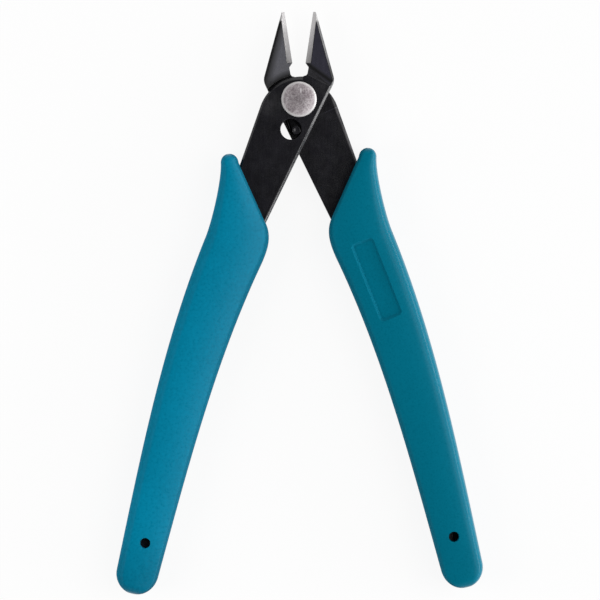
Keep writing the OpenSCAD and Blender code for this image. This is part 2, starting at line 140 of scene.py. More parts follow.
def lathe(name, profile, steps, centre=(0, 0)):
    bm = bmesh.new()
    turns = [2 * pi * k / steps for k in range(steps)]
    rings = []
    for r, z in profile:
        around = turns if r > 0 else turns[:1]
        rings.append([bm.verts.new((centre[0] + r * cos(a), centre[1] + r * sin(a), z)) for a in around])
    for a, b in zip(rings, rings[1:]):
        for k in range(steps):
            j = (k + 1) % steps
            corners = [a[k % len(a)], a[j % len(a)], b[j % len(b)], b[k % len(b)]]
            bm.faces.new(list(dict.fromkeys(corners)))
    return closedPiece(name, bm)


def setInputs(tree, made, inputs):
    for key, value in inputs.items():
        if isinstance(value, bpy.types.NodeSocket):
            tree.links.new(value, made.inputs[key])
        else:
            made.inputs[key].default_value = value


def addNode(tree, kind, inputs=None, **settings):
    made = tree.nodes.new(kind)
    for key, value in settings.items():
        setattr(made, key, value)
    setInputs(tree, made, inputs or {})
    return made


def calc(tree, operation, a, b=0.0, c=0.0):
    return addNode(tree, "ShaderNodeMath", {0: a, 1: b, 2: c}, operation=operation).outputs[0]


def vec(tree, operation, a, b=(0, 0, 0), c=(0, 0, 0), scale=1.0):
    made = addNode(tree, "ShaderNodeVectorMath", {0: a, 1: b, 2: c, 3: scale}, operation=operation)
    return made.outputs["Value"] if operation in ("LENGTH", "DOT_PRODUCT") else made.outputs[0]


mixSockets = {"FLOAT": (2, 3, 0), "VECTOR": (4, 5, 1), "RGBA": (6, 7, 2)}


def between(tree, kind, factor, a, b):
    first, second, result = mixSockets[kind]
    return addNode(tree, "ShaderNodeMix", {0: factor, first: a, second: b}, data_type=kind).outputs[result]


def newTree(name, inputs):
    tree = bpy.data.node_groups.new(name, "GeometryNodeTree")
    tree.interface.new_socket("Geometry", in_out="OUTPUT", socket_type="NodeSocketGeometry")
    for label, kind in inputs:
        tree.interface.new_socket(label, in_out="INPUT", socket_type="NodeSocket" + kind)
    return tree, addNode(tree, "NodeGroupInput").outputs, addNode(tree, "NodeGroupOutput").inputs[0]


def finishTree(tree, shape, finish, result):
    real = addNode(tree, "GeometryNodeRealizeInstances", {"Geometry": shape}).outputs[0]
    done = addNode(tree, "GeometryNodeSetMaterial", {"Geometry": real, "Material": finish}).outputs[0]
    tree.links.new(done, result)


def growPiece(piece, tree, values):
    grow = piece.modifiers.new("grow", "NODES")
    grow.node_group = tree
    for item in tree.interface.items_tree:
        if item.in_out == "INPUT" and item.name in values:
            grow[item.identifier] = values[item.name]
    applyModifiers(piece)


# finishes: all read object coordinates, and the grips also read how far each side turns

def newFinish(name):
    finish = bpy.data.materials.new(name)
    finish.use_nodes = True
    tree = finish.node_tree
    shader = next(n for n in tree.nodes if n.type == "BSDF_PRINCIPLED")
    place = addNode(tree, "ShaderNodeTexCoord").outputs["Object"]
    return finish, tree, shader, place


def grain(tree, place, scale, detail=4.0, stretch=None, turn=0.0, roughness=0.6):
    where = place
    if stretch:
        turned = {"Vector": place, "Rotation": (0, 0, turn), "Scale": stretch}
        where = addNode(tree, "ShaderNodeMapping", turned).outputs[0]
    noise = {"Vector": where, "Scale": scale, "Detail": detail, "Roughness": roughness}
    return addNode(tree, "ShaderNodeTexNoise", noise).outputs["Fac"]


def stir(tree, a, b, share):
    return calc(tree, "MULTIPLY_ADD", a, share, calc(tree, "MULTIPLY", b, 1 - share))


def ramp(tree, factor, stops, colours):
    made = addNode(tree, "ShaderNodeValToRGB", {"Fac": factor})
    keys = made.color_ramp.elements
    while len(keys) < len(stops):
        keys.new(0.5)
    for key, at, colour in zip(keys, stops, colours):
        key.position = at
        key.color = (*colour, 1)
    return made.outputs[0]


def span(tree, factor, low, high, fromLow=0.3, fromHigh=0.7):
    given = {0: factor, 1: fromLow, 2: fromHigh, 3: low, 4: high}
    return addNode(tree, "ShaderNodeMapRange", given).outputs[0]


def bump(tree, shader, height, strength, distance):
    made = addNode(tree, "ShaderNodeBump", {"Height": height, "Strength": strength, "Distance": distance})
    tree.links.new(made.outputs[0], shader.inputs["Normal"])


def alongTool(tree, place):
    return addNode(tree, "ShaderNodeSeparateXYZ", {0: place}).outputs["Y"]


# distance from a spot, or from a line where "across" is given
def reachFrom(tree, place, spot):
    x, y = spot["at"]
    offset = vec(tree, "SUBTRACT", place, (pivot.x + x * mm, pivot.y + y * mm, 0))
    if "across" not in spot:
        return vec(tree, "LENGTH", vec(tree, "MULTIPLY", offset, (1, 1, 0)))
    reach = vec(tree, "DOT_PRODUCT", offset, (*spot["across"], 0))
    return calc(tree, "ABSOLUTE", reach) if spot.get("bothSides") else reach


def oxideFinish(name, look, axisTurn=0.0, lap=None, paintedShades=(), lighterPlaces=()):
    finish, tree, shader, place = newFinish(name)
    cloudy = grain(tree, place, look["cloudScale"])
    strokes = grain(tree, place, look["strokeScale"], oxideGrain["detail"], oxideGrain["stretch"], axisTurn)
    mixed = stir(tree, strokes, cloudy, oxideGrain["strokeShare"])
    colour = ramp(tree, mixed, oxideGrain["stops"], (look["dark"], look["light"]))
    rough = span(tree, grain(tree, place, look["cloudScale"] * oxideGrain["roughScale"]), *look["rough"])
    if lap:
        # a darker zone round the joint, on one side of a line, edged along it by a fine lighter line
        reach = reachFrom(tree, place, lap)
        soft = lap["soft"] * mm
        zone = span(tree, reach, 1.0, lap["darker"], -soft, soft)
        line = span(tree, calc(tree, "ABSOLUTE", reach), lap["line"], 0.0, 0.0, soft)
        colour = vec(tree, "SCALE", colour, scale=calc(tree, "ADD", zone, line))
    for lighterPlace in lighterPlaces:
        # lighter round a spot or along a line; a line along a plate's edge is a painted highlight
        near = span(tree, reachFrom(tree, place, lighterPlace), lighterPlace["gain"], 0.0, 0.0, lighterPlace["radius"] * mm)
        near = calc(tree, "MULTIPLY", near, span(tree, cloudy, *oxideGrain["lighterMottle"]))
        gain = vec(tree, "MULTIPLY_ADD", near, oxideGrain["lighterTint"], (1, 1, 1))
        colour = vec(tree, "MULTIPLY", colour, gain)
    for shade in paintedShades:
        # painted shade: dull and dark toward a line or an arc
        reach = reachFrom(tree, place, shade)
        clear = span(tree, reach, shade["least"], 1.0, shade["from"] * mm, shade["to"] * mm)
        colour = vec(tree, "SCALE", colour, scale=clear)
        rough = between(tree, "FLOAT", clear, dullRough, rough)
    # the jaw tips are ground bare
    along = calc(tree, "MULTIPLY_ADD", cloudy, bareTip["ragged"] * mm, alongTool(tree, place))
    bareFrom, bareTo = (pivot.y + at * mm for at in bareTip["reach"])
    bare = span(tree, along, 0.0, 1.0, bareFrom, bareTo)
    steel = ramp(tree, mixed, bareTip["stops"], (bareTip["dark"], bareTip["light"]))
    setInputs(tree, shader, {
        "Base Color": between(tree, "RGBA", bare, colour, steel), "Roughness": rough,
        "Metallic": span(tree, bare, 0.0, bareTip["metal"], 0.0, 1.0),
        "Specular IOR Level": look["specular"]})
    pits = grain(tree, place, oxideGrain["pitScale"], oxideGrain["detail"])
    relief = calc(tree, "MULTIPLY_ADD", strokes, oxideGrain["strokeRelief"], pits)
    bump(tree, shader, relief, look["bump"], oxideGrain["deep"] * mm)
    return finish


def groundFinish(name, look):
    finish, tree, shader, place = newFinish(name)
    strokes = grain(tree, place, look["strokeScale"], stretch=look["stretch"])
    cloudy = grain(tree, place, look["cloudScale"])
    mixed = stir(tree, strokes, cloudy, look["strokeShare"])
    colour = ramp(tree, mixed, look["stops"], (look["dark"], look["light"]))
    # the ground bevels grow lighter from root to tip
    root, tip = (pivot.y + at * mm for at in look["reach"])
    brightening = span(tree, alongTool(tree, place), *look["rootToTip"], root, tip)
    setInputs(tree, shader, {
        "Base Color": vec(tree, "SCALE", colour, scale=brightening),
        "Roughness": span(tree, mixed, *look["rough"]), "Metallic": 1.0})
    bump(tree, shader, strokes, look["bump"], look["deep"] * mm)
    return finish


def rivetFinish(name, look):
    finish, tree, shader, place = newFinish(name)
    fromCentre = vec(tree, "SUBTRACT", place, tuple(pivot))
    fromAxis = vec(tree, "LENGTH", vec(tree, "MULTIPLY", fromCentre, (1, 1, 0)))
    edgeAt, rimAt = look["edgeAt"] * mm, look["rimAt"] * mm
    speckle = grain(tree, place, look["speckleScale"], look["speckleDetail"], roughness=look["speckleRough"])
    blotch = grain(tree, place, look["blotchScale"], look["blotchDetail"])
    mixed = stir(tree, speckle, blotch, look["speckleShare"])
    colour = ramp(tree, mixed, look["stops"], (look["dark"], look["mid"], look["light"]))
    colour = vec(tree, "SCALE", colour, scale=span(tree, fromAxis, look["centre"], 1.0, 0.0, edgeAt))
    # the turned rim is painted lighter and less metallic all round, a painted highlight, and a nick crosses
    # the face
    rim = span(tree, fromAxis, 0.0, 1.0, edgeAt, rimAt)
    colour = between(tree, "RGBA", rim, colour, (*look["rim"], 1))
    fromNick = vec(tree, "SUBTRACT", fromCentre, tuple(at * mm for at in look["nickAt"]))
    nick = vec(tree, "LENGTH", vec(tree, "MULTIPLY", fromNick, look["nickShape"]))
    nick = span(tree, nick, 1.0, 0.0, *look["nickSoft"])
    colour = between(tree, "RGBA", nick, colour, (*look["light"], 1))
    setInputs(tree, shader, {
        "Base Color": colour, "Roughness": span(tree, speckle, *look["rough"]),
        "Metallic": span(tree, rim, look["metal"], look["rimMetal"], 0.0, 1.0)})
    rings = calc(tree, "SINE", calc(tree, "MULTIPLY", fromAxis, 2 * pi / (look["ringPitch"] * mm)))
    relief = calc(tree, "MULTIPLY_ADD", rings, look["ringRelief"], speckle)
    bump(tree, shader, relief, look["bump"], look["deep"] * mm)
    return finish


def wireFinish(name, look):
    finish, tree, shader, place = newFinish(name)
    drawn = grain(tree, place, look["scale"], look["detail"])
    setInputs(tree, shader, {
        "Base Color": ramp(tree, drawn, look["stops"], (look["dark"], look["light"])),
        "Roughness": span(tree, drawn, *look["rough"]), "Metallic": 1.0})
    bump(tree, shader, drawn, look["bump"], look["deep"] * mm)
    return finish


def gripFinish(name, look):
    finish, tree, shader, place = newFinish(name)
    cloudy = grain(tree, place, gripGrain["cloudScale"], gripGrain["cloudDetail"])
    fine = grain(tree, place, look["fineScale"])
    mixed = stir(tree, fine, cloudy, gripGrain["fineShare"])
    colour = ramp(tree, mixed, gripGrain["stops"], (look["dark"], look["light"]))
    rough = span(tree, fine, *gripGrain["rough"])
    for label, share in look["sides"].items():
        # sides and recess walls are dull, and some sides are painted darker: painted shade
        turned = addNode(tree, "ShaderNodeAttribute", attribute_name=label).outputs["Fac"]
        aside = span(tree, turned, 0.0, 1.0, *gripGrain["sideFrom"])
        colour = vec(tree, "SCALE", colour, scale=span(tree, aside, 1.0, share, 0.0, 1.0))
        rough = between(tree, "FLOAT", aside, rough, dullRough)
    if "tailShare" in look:
        # painted shade: the colour darkens toward the tail's end
        tailEnd, tailStart = (at * mm for at in look["tailReach"])
        shade = span(tree, alongTool(tree, place), look["tailShare"], 1.0, tailEnd, tailStart)
        colour = vec(tree, "SCALE", colour, scale=shade)
    setInputs(tree, shader, {
        "Base Color": colour, "Roughness": rough, "Specular IOR Level": look["specular"]})
    bump(tree, shader, fine, look["bump"], gripGrain["deep"] * mm)
    return finish


# colours are linear, "rough" and "stops" are ranges, and lengths are in millimetres
dullRough = 0.9
oxideGrain = {"strokeShare": 0.45, "stretch": (1, 0.06, 1), "detail": 3.0, "stops": (0.35, 0.65),
              "roughScale": 3, "lighterMottle": (0.4, 1.4), "lighterTint": (0.98, 1.0, 0.75), "pitScale": 5200,
              "strokeRelief": 0.5, "deep": 0.05, "strokeTilt": -12}
gripGrain = {"cloudScale": 70, "cloudDetail": 3.0, "fineShare": 0.65, "stops": (0.4, 0.6),
             "rough": (0.26, 0.32), "sideFrom": (0.14, 0.5), "deep": 0.04}
bareTip = {"reach": (16.6, 17.1), "ragged": 0.4, "dark": (0.36, 0.355, 0.355), "light": (0.56, 0.55, 0.55),
           "stops": (0.3, 0.7), "metal": 0.2}
finishes = {
    "oxide": {"dark": (0.0038, 0.0037, 0.0052), "light": (0.0098, 0.0094, 0.0126), "cloudScale": 260,
              "strokeScale": 2600, "rough": (0.22, 0.3), "specular": 0.5, "bump": 0.06},
    # painted light: the two jaw faces are one oxide, and the right jaw's face is painted lighter than the
    # left's
    "leftFace": {"dark": (0.013, 0.013, 0.022), "light": (0.022, 0.0222, 0.035), "cloudScale": 320,
                 "strokeScale": 2800, "rough": (0.22, 0.3), "specular": 0.55, "bump": 0.06},
    "rightFace": {"dark": (0.022, 0.0215, 0.033), "light": (0.034, 0.033, 0.049), "cloudScale": 320,
                  "strokeScale": 2800, "rough": (0.22, 0.3), "specular": 0.55, "bump": 0.06},
    # painted shade: the rear jaw's outer chamfer faces away from the key and is made near black
    "deep": {"dark": (0.0012, 0.0012, 0.0016), "light": (0.004, 0.004, 0.005), "cloudScale": 400,
             "strokeScale": 2600, "rough": (0.4, 0.52), "specular": 0.2, "bump": 0.1},
    # partly wear and partly a painted highlight: the front jaw's outer chamfer, which faces the key, is made
    # lighter
    "brightening": {"dark": (0.11, 0.11, 0.112), "light": (0.21, 0.209, 0.212), "cloudScale": 900,
             "strokeScale": 2600, "rough": (0.36, 0.46), "specular": 0.4, "bump": 0.08},
    "ground": {"dark": (0.39, 0.38, 0.383), "light": (0.58, 0.567, 0.57), "stops": (0.3, 0.7),
               "cloudScale": 420, "strokeScale": 5200, "strokeShare": 0.6, "stretch": (0.05, 1, 1),
               "rough": (0.3, 0.44), "reach": (7.9, 15.7), "rootToTip": (0.66, 1.1), "bump": 0.1,
               "deep": 0.03},
    "rivet": {"dark": (0.25, 0.21, 0.226), "mid": (0.53, 0.469, 0.492), "light": (0.82, 0.775, 0.79),
              "stops": (0.37, 0.5, 0.63), "speckleScale": 3000, "speckleDetail": 5.0, "speckleRough": 0.75,
              "speckleShare": 0.75, "blotchScale": 700, "blotchDetail": 2.0, "rough": (0.36, 0.52),
              "metal": 0.7, "centre": 0.58, "edgeAt": 3.1, "rimAt": 3.4, "rim": (0.66, 0.64, 0.64),
              "rimMetal": 0.4, "nickAt": (0.4, 1.8, 0.0), "nickShape": (5600, 1350, 0),
              "nickSoft": (0.4, 1.0), "ringPitch": 0.22, "ringRelief": 0.08, "bump": 0.2, "deep": 0.06},
    "wire": {"dark": (0.012, 0.012, 0.013), "light": (0.03, 0.03, 0.032), "stops": (0.3, 0.7),
             "scale": 1800, "detail": 3.0, "rough": (0.25, 0.42), "bump": 0.1, "deep": 0.02},
    # painted light and painted shade: both grips are one teal plastic, but the left grip's base colour is
    # painted lighter and the right grip's darker
    "leftGrip": {"dark": (0.0, 0.171, 0.283), "light": (0.0, 0.204, 0.337), "fineScale": 1700,
                 "specular": 0.13, "bump": 0.14, "sides": {"innerSide": 0.64, "outerSide": 1.0},
                 "tailShare": 0.68, "tailReach": (-61, -49)},
    "rightGrip": {"dark": (0.0, 0.139, 0.213), "light": (0.0, 0.157, 0.241), "fineScale": 2600,
                  "specular": 0.1, "bump": 0.03, "sides": {"innerSide": 0.92, "recessWall": 1.0}},
}
# places of painted shade, painted highlight and other lighter or darker marks, in millimetres from the pivot
# painted shade on the left jaw's face: darker along its outer edge, and a painted shadow in a band along the
# front plate's crown
leftJawPaintedShade = [{"at": (-7.7, 1.9), "across": (0.97, -0.243), "least": 0.04, "from": 0.25, "to": 1.75},
              {"at": (0.68, -4.4), "least": 0.06, "from": 9.9, "to": 11.25}]
# painted shade: a dark band across the right jaw's root
rightJawPaintedShade = [{"at": (4.62, 5.38), "across": (0.6, 0.8), "bothSides": True, "least": 0.05, "from": 0.15,
                "to": 0.8}]
# the front jaw chamfer's lighter finish fades toward its root, shaping the painted highlight
edgeHighlightFade = [{"at": (0, 5), "across": (0, 1), "least": 0.25, "from": 0.8, "to": 5}]
# the front plate is lighter at two spots, and along its right edge as a painted highlight
frontLighterPlaces = [{"at": (-5.5, -0.9), "radius": 3.2, "gain": 2.4},
             {"at": (4.6, 2.9), "radius": 2.8, "gain": 1.4},
             {"at": (4.494, -2.192), "across": (0.899, -0.438), "bothSides": True, "radius": 0.4, "gain": 10}]
# a painted highlight along the rear plate's outer edge
rearEdgeHighlight = [{"at": (8.8, -4.36), "across": (-0.936, -0.351), "bothSides": True, "radius": 0.38, "gain": 20}]
lapZone = {"at": (4.62, -3.02), "across": (-0.419, 0.908), "darker": 0.72, "line": 2.0, "soft": 0.12}

frontAxis = radians(oxideGrain["strokeTilt"]) - halfSwing
frontOxide = oxideFinish("frontOxide", finishes["oxide"], frontAxis, lighterPlaces=frontLighterPlaces)
rearOxide = oxideFinish("rearOxide", finishes["oxide"], -frontAxis, lapZone, lighterPlaces=rearEdgeHighlight)
shadedChamferOxide = oxideFinish("shadedChamferOxide", finishes["deep"])
wearAndHighlightEdge = oxideFinish("wearAndHighlightEdge", finishes["brightening"], paintedShades=edgeHighlightFade)
leftFace = oxideFinish("leftFace", finishes["leftFace"], paintedShades=leftJawPaintedShade)
rightFace = oxideFinish("rightFace", finishes["rightFace"], paintedShades=rightJawPaintedShade)
groundSteel = groundFinish("groundSteel", finishes["ground"])
rivetSteel = rivetFinish("rivetSteel", finishes["rivet"])
springWire = wireFinish("springWire", finishes["wire"])
# the two grip finishes are a painted-lit and a painted-shaded copy of one teal
leftTeal = gripFinish("leftTeal", finishes["leftGrip"])
rightTeal = gripFinish("rightTeal", finishes["rightGrip"])
print("finishes made:", len(bpy.data.materials))


# blades: the solids' own forms with broken edges and bare ground bevels

blade = {"weld": 3e-6, "flatten": 0.4, "bevelTilt": 54, "bevelMatch": 0.995, "flushBack": -1.15,
         "backMatch": 0.99, "backRoom": 0.02, "jawFrom": 5.0, "chamferLean": (0.76, 0.81),
         "faceLean": (0.9, 0.99), "edgeBreak": 0.08, "breakSteps": 2, "sharpFrom": 16}
bladeCoats = {"oxide": 0, "ground": 1, "edge": 2, "face": 3}


def bladeCoat(normal, at):
    tilt = radians(blade["bevelTilt"])
    onBevel = normal.dot(Vector((-sin(tilt), 0, cos(tilt)))) > blade["bevelMatch"]
    onBack = normal.z < -blade["backMatch"] and abs(at.z - blade["flushBack"]) < blade["backRoom"]
    chamferLow, chamferHigh = blade["chamferLean"]
    faceLow, faceHigh = blade["faceLean"]
    if onBevel or onBack:
        return "ground"
    if chamferLow < normal.z < chamferHigh and at.y > blade["jawFrom"]:
        return "edge"
    return "face" if faceLow < normal.z < faceHigh else "oxide"


def bladePiece(name, node, place, oxide, edgeOxide, faceOxide):
    bm = bmesh.new()
    bm.from_mesh(frame["nodes"][node].data)
    bmesh.ops.remove_doubles(bm, verts=bm.verts, dist=blade["weld"])
    bmesh.ops.dissolve_limit(bm, angle_limit=radians(blade["flatten"]), verts=bm.verts, edges=bm.edges,
                             delimit={"NORMAL"})
    toDrawn = place.inverted()
    turnDrawn = toDrawn.to_3x3()
    for face in bm.faces:
        normal = (turnDrawn @ face.normal).normalized()
        face.material_index = bladeCoats[bladeCoat(normal, toDrawn @ face.calc_center_median())]
    mesh = bpy.data.meshes.new(name)
    bm.to_mesh(mesh)
    bm.free()
    piece = linkPiece(name, mesh)
    for finish in (oxide, groundSteel, edgeOxide, faceOxide):
        mesh.materials.append(finish)
    mesh.shade_smooth()
    mesh.set_sharp_from_angle(angle=radians(blade["sharpFrom"]))
    broken = piece.modifiers.new("brokenEdges", "BEVEL")
    broken.width = blade["edgeBreak"] * mm
    broken.segments = blade["breakSteps"]
    broken.limit_method = "ANGLE"
    broken.angle_limit = radians(blade["sharpFrom"])
    broken.use_clamp_overlap = False
    broken.harden_normals = True
    broken.material = bladeCoats["oxide"]     # black, so the edges of the ground bevels don't glint
    broken.miter_outer = "MITER_ARC"
    applyModifiers(piece)
    return piece


# the front jaw's outer chamfer takes the lighter finish, partly wear and partly painted highlight, and the
# rear jaw's takes the near-black one, a painted shade
frontBlade = bladePiece("frontBladeSteel", "front_blade", frontPlace, frontOxide, wearAndHighlightEdge, rightFace)
rearBlade = bladePiece("rearBladeSteel", "rear_blade", rearPlace, rearOxide, shadedChamferOxide, leftFace)
enlist(frontBlade, "front_blade", "front_half")
enlist(rearBlade, "rear_blade", "rear_half")
print("blades:", len(frontBlade.data.polygons), len(rearBlade.data.polygons), "faces")


# rivet, washer and stop pin: turned pieces

turned = {"steps": 128, "sharpFrom": 40}
rivet = {"head": 3.71, "headHigh": 0.95, "rim": 0.4, "rimFrom": 80, "rimSteps": 8, "dome": 0.16,
         "domeSteps": 12, "seat": 0.004, "shank": 2.0, "tail": 2.99, "tailHigh": 0.8, "tailRound": 0.45,
         "tailSteps": 8, "tailLift": 0.03, "foot": ((1.6, 0.012), (0.5, 0.004), (0, 0.004))}
washer = {"outer": 3.69, "bore": 2.012, "thick": 0.5, "break": 0.12, "breakShare": 0.3}
stop = {"distance": 6.45, "turn": 5.0, "radius": 0.9, "high": 1.9, "dish": 0.3, "dishDeep": 0.1,
        "dishSlope": 0.18, "rim": 0.15, "rimSteps": 4, "steps": 64}
stopTurn = radians(stop["turn"]) + halfSwing
stopAt = (stop["distance"] * sin(stopTurn), -stop["distance"] * cos(stopTurn))
washerTop = -plateTop - lapGap
washerLow = washerTop - washer["thick"]


def arc(r, z, size, fromAngle, toAngle, steps):
    turns = [radians(fromAngle + (toAngle - fromAngle) * k / steps) for k in range(steps + 1)]
    return [(r + size * cos(a), z + size * sin(a)) for a in turns]


def rivetPiece():
    top = plateTop + rivet["headHigh"] - hair
    seat = plateTop + rivet["seat"]
    foot = washerLow - rivet["tailHigh"]
    rimTop = rivet["head"] - rivet["rim"]
    tailRound = rivet["tailRound"]
    shares = [k / rivet["domeSteps"] for k in range(rivet["domeSteps"])]
    profile = [(rimTop * f, top - rivet["dome"] * f ** 2) for f in shares]
    profile += arc(rimTop, top - rivet["rim"] - rivet["dome"], rivet["rim"], rivet["rimFrom"], 0,
                   rivet["rimSteps"])
    profile += [(rivet["head"], seat), (rivet["shank"], seat), (rivet["shank"], washerLow)]
    profile += [(rivet["tail"], washerLow)]
    profile += arc(rivet["tail"] - tailRound, foot + tailRound + rivet["tailLift"], tailRound, 0, -90,
                   rivet["tailSteps"])
    profile += [(r, foot + lift) for r, lift in rivet["foot"]]
    piece = lathe("rivetTurned", profile, turned["steps"])
    settle(piece, frontPlace, turned["sharpFrom"])
    return piece


def washerPiece():
    outer, bore, soft = washer["outer"], washer["bore"], washer["break"]
    part = soft * washer["breakShare"]
    profile = [(bore, washerTop), (outer - soft, washerTop), (outer - part, washerTop - part),
               (outer, washerTop - soft), (outer, washerLow + soft), (outer - part, washerLow + part),
               (outer - soft, washerLow), (bore, washerLow), (bore, washerTop)]
    piece = lathe("washerTurned", profile, turned["steps"])
    settle(piece, frontPlace, turned["sharpFrom"])
    return piece


def stopPinPiece():
    top = stop["high"] - hair
    dishFloor = top - stop["dishDeep"]
    profile = [(0, dishFloor), (stop["dish"], dishFloor), (stop["dish"] + stop["dishSlope"], top)]
    profile += arc(stop["radius"] - stop["rim"], top - stop["rim"], stop["rim"], 90, 0, stop["rimSteps"])
    profile += [(stop["radius"], -plateTop), (0, -plateTop)]
    piece = lathe("stopPinTurned", profile, stop["steps"], stopAt)
    settle(piece, rearPlace, turned["sharpFrom"])
    return piece


for piece, node, body, finish, slot in (
        (rivetPiece(), "pivot_rivet", "front_half", rivetSteel, "rivet_steel"),
        (washerPiece(), "rivet_washer", "front_half", rivetSteel, "rivet_steel"),
        (stopPinPiece(), "stop_pin", "rear_half", rearOxide, "black_oxide")):
    coat(piece, finish)
    enlist(piece, node, body)
print("turned pieces made")


# return spring: round wire along the toe, the bend, the flat turn and the leg

spring = {"wire": 0.5, "toeRadius": 2.75, "pitch": 1.0, "depth": -0.37, "toeHigh": 1.1, "bend": 0.5,
          "bendSteps": 6, "legPast": 0.3, "legShares": (0.15, 0.5, 1.0), "room": 0.1, "sides": 14,
          "turnSteps": 60, "turnFrom": 5, "sharpFrom": 50}


def springPath():
    wound = spring["toeRadius"] + spring["pitch"]
    side = stop["radius"] + spring["wire"] / 2 + spring["room"] / 2
    legTurn = acos((wound - side) / stop["distance"])
    pin = Vector(stopAt)
    legAngle = atan2(pin.y, pin.x) + legTurn
    legLength = stop["distance"] * sin(legTurn) + spring["legPast"]
    around = lambda a: Vector((cos(a), sin(a), 0))
    onward = Vector((sin(legAngle), -cos(legAngle), 0))
    low = Vector((0, 0, spring["depth"]))
    toe = spring["toeRadius"] * around(legAngle) + low
    bend = spring["bend"]
    path = [toe + Vector((0, 0, spring["toeHigh"] - spring["depth"])), toe + Vector((0, 0, bend))]
    for k in range(1, spring["bendSteps"] + 1):
        a = radians(90 * k / spring["bendSteps"])
        path.append(toe + Vector((0, 0, bend * (1 - sin(a)))) + bend * (1 - cos(a)) * onward)
    steps = spring["turnSteps"]
    for k in range(spring["turnFrom"], steps + 1):
        f = k / steps
        radius = spring["toeRadius"] + spring["pitch"] * f
        path.append(radius * around(legAngle - 2 * pi * f) + low)
    heel = wound * around(legAngle) + low
    path += [heel + onward * legLength * f for f in spring["legShares"]]
    return path


def wireTree():
    tree, given, result = newTree("springWireTree", [
        ("Geometry", "Geometry"), ("Wire Diameter", "Float"), ("Sides", "Int"), ("Finish", "Material")])
    line = addNode(tree, "GeometryNodeMeshToCurve", {"Mesh": given["Geometry"]}).outputs[0]
    radius = calc(tree, "DIVIDE", given["Wire Diameter"], 2.0)
    section = addNode(tree, "GeometryNodeCurvePrimitiveCircle",
                      {"Resolution": given["Sides"], "Radius": radius}).outputs[0]
    tube = addNode(tree, "GeometryNodeCurveToMesh",
                   {"Curve": line, "Profile Curve": section, "Fill Caps": True}).outputs[0]
    finishTree(tree, tube, given["Finish"], result)
    return tree


springLine = springPath()
lineMesh = bpy.data.meshes.new("springLine")
lineMesh.from_pydata(springLine, [(i, i + 1) for i in range(len(springLine) - 1)], [])
springPiece = linkPiece("springWound", lineMesh)
growPiece(springPiece, wireTree(), {
    "Wire Diameter": spring["wire"], "Sides": spring["sides"], "Finish": springWire})
settle(springPiece, rearPlace, spring["sharpFrom"])
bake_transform(springPiece)
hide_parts("return_spring")
print("spring wound with", len(springLine), "points")


# grips: a loft through stations along the handle, then the tang slot, the pin hole and the label recess

grip = {"thick": 9.4, "palm": (-8.05, -32.5), "palmWidth": 13.0, "palmTilt": 13.5,
        "tail": (-16.05, -102.5), "tailWidth": 8.77, "tailTilt": 3.5,     # tail a hair inside its solid
        "outerRound": 0.25, "innerRound": 0.12, "outerMost": 0.36, "innerMost": 0.6, "sidePower": 0.65,
        "lipRound": 1.2, "hornRound": 1.7, "lean": 6.0, "innerTurn": 82, "cornerRise": 7.1, "cornerX": 2.4,
        "mouthTilt": 34.3, "mouthLength": 13.9, "hornWidth": 3.7, "hornLean": 13.0, "bulgeShare": 0.4,
        "lipEase": 0.7, "bulgeEase": 0.38, "riseEase": 0.22, "seam": 0.035, "seamMost": 0.1,
        "seamAngle": 0.01, "fit": 0.03, "leftSet": 1.2, "slopeStep": 0.01, "merge": 0.002, "faceSteps": 11,
        "bodySteps": 72, "topSteps": 40, "capSteps": 12, "ringSteps": 40, "sharpFrom": 30}
mark = {"pinHole": 1.075, "pinHoleUp": 6.8, "pinHoleIn": 0.25, "flare": 0.14, "flareDown": 0.06,
        "flareTurns": (30, 60, 75), "holeBelow": 0.1, "holeAbove": 0.2, "holeSteps": 40, "labelWide": 4.35,
        "labelLong": 16.6, "labelDeep": 0.38, "labelDown": 7.6, "labelIn": 0.5, "labelAbove": 1.0,
        "draft": 0.18, "corner": 0.3, "cornerSteps": 4, "wallLean": 0.9}
tang = {"wide": 7.4, "endWide": 5.0, "short": 4.5, "outerTilt": 9.3, "outerOff": -7.15, "innerTilt": 15.8,
        "innerOff": 5.0, "steps": 14, "endTurn": 15}


def bezier(p, f):
    return (1 - f) ** 3 * p[0] + 3 * (1 - f) ** 2 * f * p[1] + 3 * (1 - f) * f * f * p[2] + f ** 3 * p[3]


def mix(a, b, f):
    return a + (b - a) * f


def eased(f):
    return f * f * (3 - 2 * f)


def tilted(angle):
    return Vector((-sin(radians(angle)), cos(radians(angle))))


palm = Vector(grip["palm"])
tail = Vector(grip["tail"])
axisLength = (tail - palm).length
palmDir = -tilted(-grip["palmTilt"])
tailDir = -tilted(-grip["tailTilt"])
axisPoints = [palm, palm + palmDir * axisLength / 3, tail - tailDir * axisLength / 3, tail]


def axisAt(f):
    return bezier(axisPoints, f)


def axisDir(f):
    return (axisAt(f + grip["slopeStep"]) - axisAt(f - grip["slopeStep"])).normalized()


def outward(f):
    along = axisDir(f)
    return Vector((along.y, -along.x))


def gripWidth(f):
    return mix(grip["palmWidth"], grip["tailWidth"], f)


# a station is its outer point, inner point, share of the full height, outer rounding and inner rounding
def capStation(centre, along, side, r, soft, angle):
    a = radians(angle)
    tip = centre + along * r * sin(a)
    fromEnd = r * (1 - sin(a))
    power = grip["sidePower"]
    rise = 1.0 if fromEnd >= soft[0] else max(0.0, 1 - (1 - fromEnd / soft[0]) ** (2 / power)) ** (power / 2)
    return (tip + side * r * cos(a), tip - side * r * cos(a), rise, *soft)


